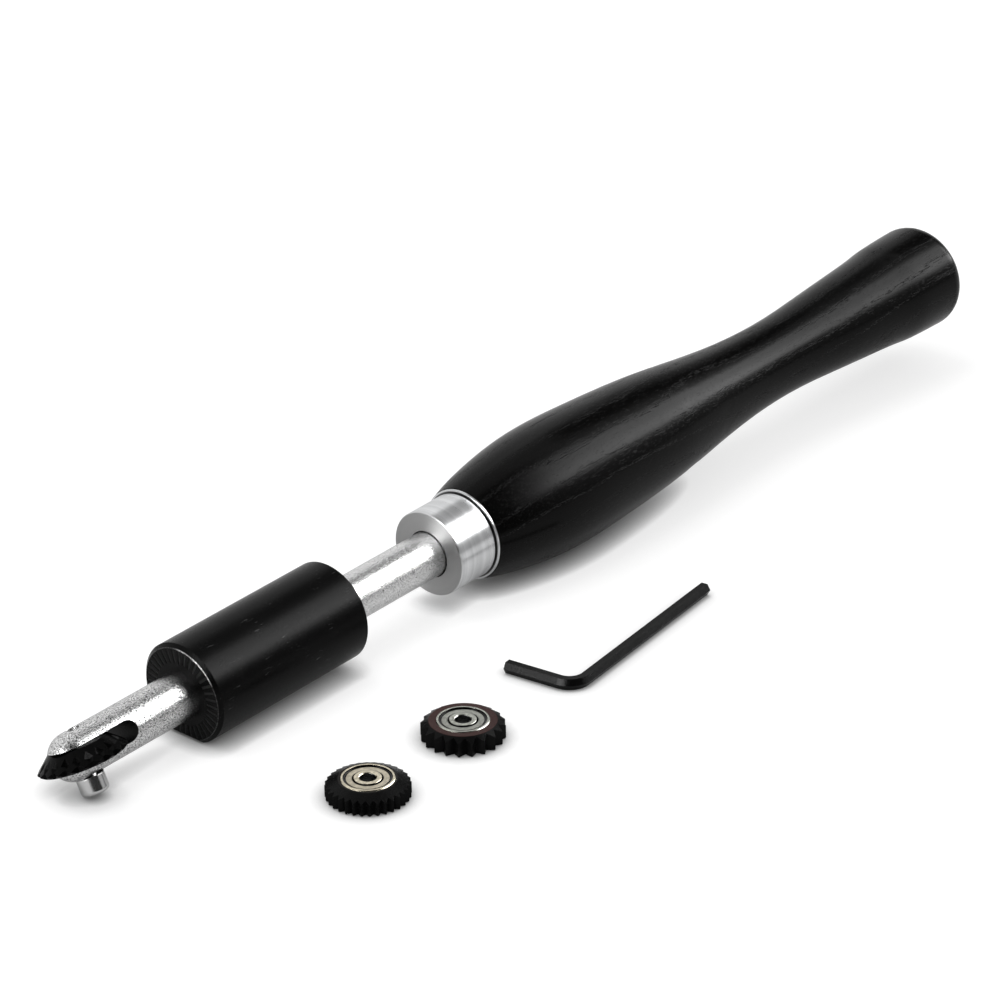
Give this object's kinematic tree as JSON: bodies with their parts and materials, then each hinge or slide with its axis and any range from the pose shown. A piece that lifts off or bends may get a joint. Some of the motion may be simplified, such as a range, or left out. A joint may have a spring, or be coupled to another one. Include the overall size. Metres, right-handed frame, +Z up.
{
  "type": "woodturning texturing tool",
  "caption": "Woodturning texturing tool: black turned handle, steel shank, sliding tool-rest sleeve and toothed cutter wheel on a ball bearing, with loose spare wheels and a hexagon key.",
  "frame": {"origin": "centre of the whole set's box, at the height of the surface that everything lies on", "axes": "+X towards the handle's butt along the tool, +Y away from the loose pieces, +Z up"},
  "size_m": [0.3414, 0.0798, 0.0382],
  "materials": {
    "handle": "satin",
    "ferrule": "satin, turned",
    "shank": "plated, satin",
    "axle_screw": "polished",
    "sleeve": "black oxide, satin",
    "clamp_screw": "black oxide",
    "key": "black oxide",
    "black_cutter": "black oxide, glossy",
    "brown_cutter": "tempered, brown sheen",
    "bearing": "ground",
    "balls": "polished",
    "cage": "pressed sheet",
    "shield": "pressed sheet",
    "wire": "drawn wire"
  },
  "bodies": {
    "tool": {"handle": "handle", "ferrule": "ferrule", "shank": "shank", "mounted_inner_ring": "bearing"},
    "mounted_wheel": {"mounted_cutter": "black_cutter", "mounted_outer_ring": "bearing", "mounted_shields": "shield", "mounted_snap_wires": "wire"},
    "mounted_cage": {"mounted_cage": "cage", "mounted_balls": "balls"},
    "axle_screw": {"axle_screw": "axle_screw"},
    "rest_sleeve": {"rest_sleeve": "sleeve"},
    "clamp_screw": {"clamp_screw": "clamp_screw"},
    "hex_key": {"hex_key": "key"},
    "fine_wheel": {"fine_cutter": "black_cutter", "fine_outer_ring": "bearing", "fine_shields": "shield", "fine_snap_wires": "wire"},
    "fine_inner": {"fine_inner_ring": "bearing"},
    "fine_cage": {"fine_cage": "cage", "fine_balls": "balls"},
    "medium_wheel": {"medium_cutter": "brown_cutter", "medium_outer_ring": "bearing", "medium_shields": "shield", "medium_snap_wires": "wire"},
    "medium_inner": {"medium_inner_ring": "bearing"},
    "medium_cage": {"medium_cage": "cage", "medium_balls": "balls"}
  },
  "joints": [
    {"name": "mounted_wheel_spin", "type": "hinge", "parent": "tool", "child": "mounted_wheel", "pos_m": [-0.15959, 0.02259, 0.01062], "axis": [0.0365, -0.4067, -0.9128], "continuous": true},
    {"name": "mounted_cage_spin", "type": "hinge", "parent": "tool", "child": "mounted_cage", "pos_m": [-0.15959, 0.02259, 0.01062], "axis": [0.0365, -0.4067, -0.9128], "continuous": true},
    {"name": "axle_screw_out", "type": "slide", "parent": "tool", "child": "axle_screw", "axis": [0.0365, -0.4067, -0.9128], "range_m": [0, 0.012]},
    {"name": "rest_sleeve_slide", "type": "slide", "parent": "tool", "child": "rest_sleeve", "axis": [0.9992, 0, 0.04], "range_m": [-0.015, 0.035]},
    {"name": "clamp_screw_out", "type": "slide", "parent": "rest_sleeve", "child": "clamp_screw", "axis": [0, 1, 0], "range_m": [0, 0.002]},
    {"name": "hex_key_lift", "type": "slide", "parent": "tool", "child": "hex_key", "axis": [0, 0, 1], "range_m": [0, 0.06]},
    {"name": "fine_wheel_lift", "type": "slide", "parent": "tool", "child": "fine_wheel", "axis": [0, 0, 1], "range_m": [0, 0.06]},
    {"name": "fine_inner_spin", "type": "hinge", "parent": "fine_wheel", "child": "fine_inner", "pos_m": [-0.11822, -0.02971, 0.0025], "axis": [0, 0, 1], "continuous": true},
    {"name": "fine_cage_spin", "type": "hinge", "parent": "fine_wheel", "child": "fine_cage", "pos_m": [-0.11822, -0.02971, 0.0025], "axis": [0, 0, 1], "continuous": true},
    {"name": "medium_wheel_lift", "type": "slide", "parent": "tool", "child": "medium_wheel", "axis": [0, 0, 1], "range_m": [0, 0.06]},
    {"name": "medium_inner_spin", "type": "hinge", "parent": "medium_wheel", "child": "medium_inner", "pos_m": [-0.08332, -0.02811, 0.0025], "axis": [0, 0, 1], "continuous": true},
    {"name": "medium_cage_spin", "type": "hinge", "parent": "medium_wheel", "child": "medium_cage", "pos_m": [-0.08332, -0.02811, 0.0025], "axis": [0, 0, 1], "continuous": true}
  ],
  "couplings": [
    {"joint": "mounted_cage_spin", "follows": "mounted_wheel_spin", "ratio": 0.61682},
    {"joint": "fine_cage_spin", "follows": "fine_inner_spin", "ratio": 0.38318},
    {"joint": "medium_cage_spin", "follows": "medium_inner_spin", "ratio": 0.38318}
  ]
}
